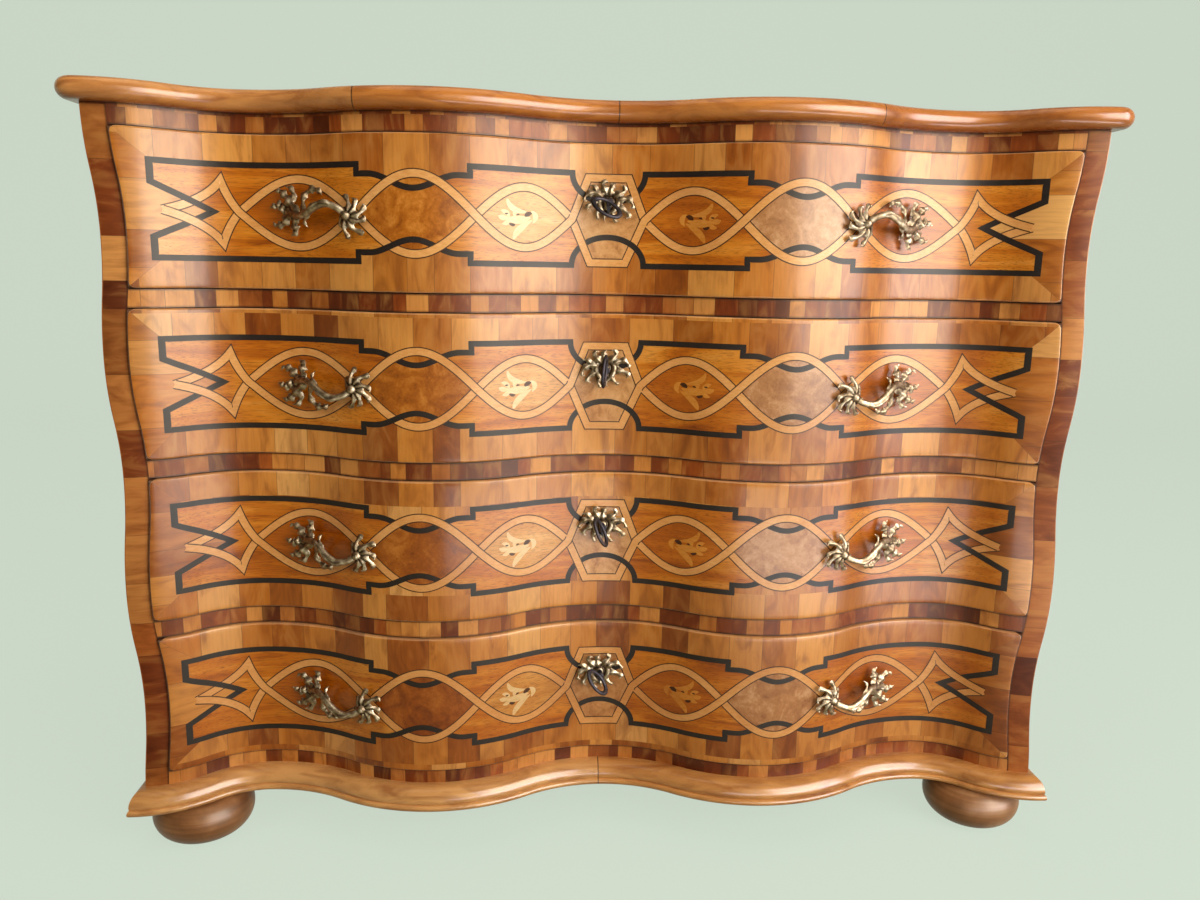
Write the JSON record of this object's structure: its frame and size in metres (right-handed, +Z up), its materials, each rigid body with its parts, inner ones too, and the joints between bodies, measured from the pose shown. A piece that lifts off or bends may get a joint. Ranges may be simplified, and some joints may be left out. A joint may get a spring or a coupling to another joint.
{
  "type": "serpentine chest of drawers",
  "caption": "Serpentine-front walnut chest of drawers with crossbanded rails, strapwork inlay, cast foliate pulls, keyed locks and turned bun feet.",
  "frame": {"origin": "on the floor, under the middle of the whole chest's box", "axes": "+X to the right seen from the front, +Y from the front to the back, +Z up; drawers open along -Y"},
  "size_m": [1.195, 0.62, 0.917],
  "materials": {
    "walnut_veneer": "glossy shellac",
    "walnut_solid": "glossy shellac",
    "stained_wood": "dark stain, polished",
    "softwood": "bare, aged",
    "gilt_bronze": "aged gilt cast bronze",
    "iron": "dark wrought iron"
  },
  "bodies": {
    "carcase": {"left_side": "walnut_veneer", "right_side": "walnut_veneer", "left_stile": "walnut_veneer", "right_stile": "walnut_veneer", "back_boards": "softwood", "bottom_board": "softwood", "foot_battens": "softwood", "top_board": "walnut_veneer", "top_moulding": "walnut_solid", "top_rail": "walnut_veneer", "bottom_rail": "walnut_veneer", "divider_rail_1": "walnut_veneer", "divider_rail_2": "walnut_veneer", "divider_rail_3": "walnut_veneer", "drawer_runners": "softwood", "drawer_guides": "softwood", "drawer_stops": "softwood", "base_moulding": "walnut_solid", "bun_feet": "stained_wood"},
    "drawer_1": {"drawer_1_front": "walnut_veneer", "drawer_1_sides": "softwood", "drawer_1_back": "softwood", "drawer_1_bottom": "softwood", "drawer_1_lock": "iron", "drawer_1_escutcheon": "gilt_bronze", "drawer_1_handles": "gilt_bronze", "drawer_1_handle_nuts": "iron"},
    "key_1": {"drawer_1_key": "iron"},
    "bolt_1": {"drawer_1_bolt": "iron"},
    "drawer_2": {"drawer_2_front": "walnut_veneer", "drawer_2_sides": "softwood", "drawer_2_back": "softwood", "drawer_2_bottom": "softwood", "drawer_2_lock": "iron", "drawer_2_escutcheon": "gilt_bronze", "drawer_2_handles": "gilt_bronze", "drawer_2_handle_nuts": "iron"},
    "key_2": {"drawer_2_key": "iron"},
    "bolt_2": {"drawer_2_bolt": "iron"},
    "drawer_3": {"drawer_3_front": "walnut_veneer", "drawer_3_sides": "softwood", "drawer_3_back": "softwood", "drawer_3_bottom": "softwood", "drawer_3_lock": "iron", "drawer_3_escutcheon": "gilt_bronze", "drawer_3_handles": "gilt_bronze", "drawer_3_handle_nuts": "iron"},
    "key_3": {"drawer_3_key": "iron"},
    "bolt_3": {"drawer_3_bolt": "iron"},
    "drawer_4": {"drawer_4_front": "walnut_veneer", "drawer_4_sides": "softwood", "drawer_4_back": "softwood", "drawer_4_bottom": "softwood", "drawer_4_lock": "iron", "drawer_4_escutcheon": "gilt_bronze", "drawer_4_handles": "gilt_bronze", "drawer_4_handle_nuts": "iron"},
    "key_4": {"drawer_4_key": "iron"},
    "bolt_4": {"drawer_4_bolt": "iron"}
  },
  "joints": [
    {"name": "drawer_1_slide", "type": "slide", "parent": "carcase", "child": "drawer_1", "axis": [0, -1, 0], "range_m": [0, 0.4]},
    {"name": "key_1_turn", "type": "hinge", "parent": "drawer_1", "child": "key_1", "pos_m": [0, -0.231, 0.8021], "axis": [0, 1, 0], "range_deg": [0, 180]},
    {"name": "bolt_1_slide", "type": "slide", "parent": "drawer_1", "child": "bolt_1", "axis": [0, 0, 1], "range_m": [0, 0.009]},
    {"name": "drawer_2_slide", "type": "slide", "parent": "carcase", "child": "drawer_2", "axis": [0, -1, 0], "range_m": [0, 0.4]},
    {"name": "key_2_turn", "type": "hinge", "parent": "drawer_2", "child": "key_2", "pos_m": [0, -0.231, 0.6046], "axis": [0, 1, 0], "range_deg": [0, 180]},
    {"name": "bolt_2_slide", "type": "slide", "parent": "drawer_2", "child": "bolt_2", "axis": [0, 0, 1], "range_m": [0, 0.009]},
    {"name": "drawer_3_slide", "type": "slide", "parent": "carcase", "child": "drawer_3", "axis": [0, -1, 0], "range_m": [0, 0.4]},
    {"name": "key_3_turn", "type": "hinge", "parent": "drawer_3", "child": "key_3", "pos_m": [0, -0.231, 0.4071], "axis": [0, 1, 0], "range_deg": [0, 180]},
    {"name": "bolt_3_slide", "type": "slide", "parent": "drawer_3", "child": "bolt_3", "axis": [0, 0, 1], "range_m": [0, 0.009]},
    {"name": "drawer_4_slide", "type": "slide", "parent": "carcase", "child": "drawer_4", "axis": [0, -1, 0], "range_m": [0, 0.4]},
    {"name": "key_4_turn", "type": "hinge", "parent": "drawer_4", "child": "key_4", "pos_m": [0, -0.231, 0.2096], "axis": [0, 1, 0], "range_deg": [0, 180]},
    {"name": "bolt_4_slide", "type": "slide", "parent": "drawer_4", "child": "bolt_4", "axis": [0, 0, 1], "range_m": [0, 0.009]}
  ],
  "couplings": [
    {"joint": "key_1_turn", "follows": "bolt_1_slide", "rad_per_m": 349.07},
    {"joint": "key_2_turn", "follows": "bolt_2_slide", "rad_per_m": 349.07},
    {"joint": "key_3_turn", "follows": "bolt_3_slide", "rad_per_m": 349.07},
    {"joint": "key_4_turn", "follows": "bolt_4_slide", "rad_per_m": 349.07}
  ]
}
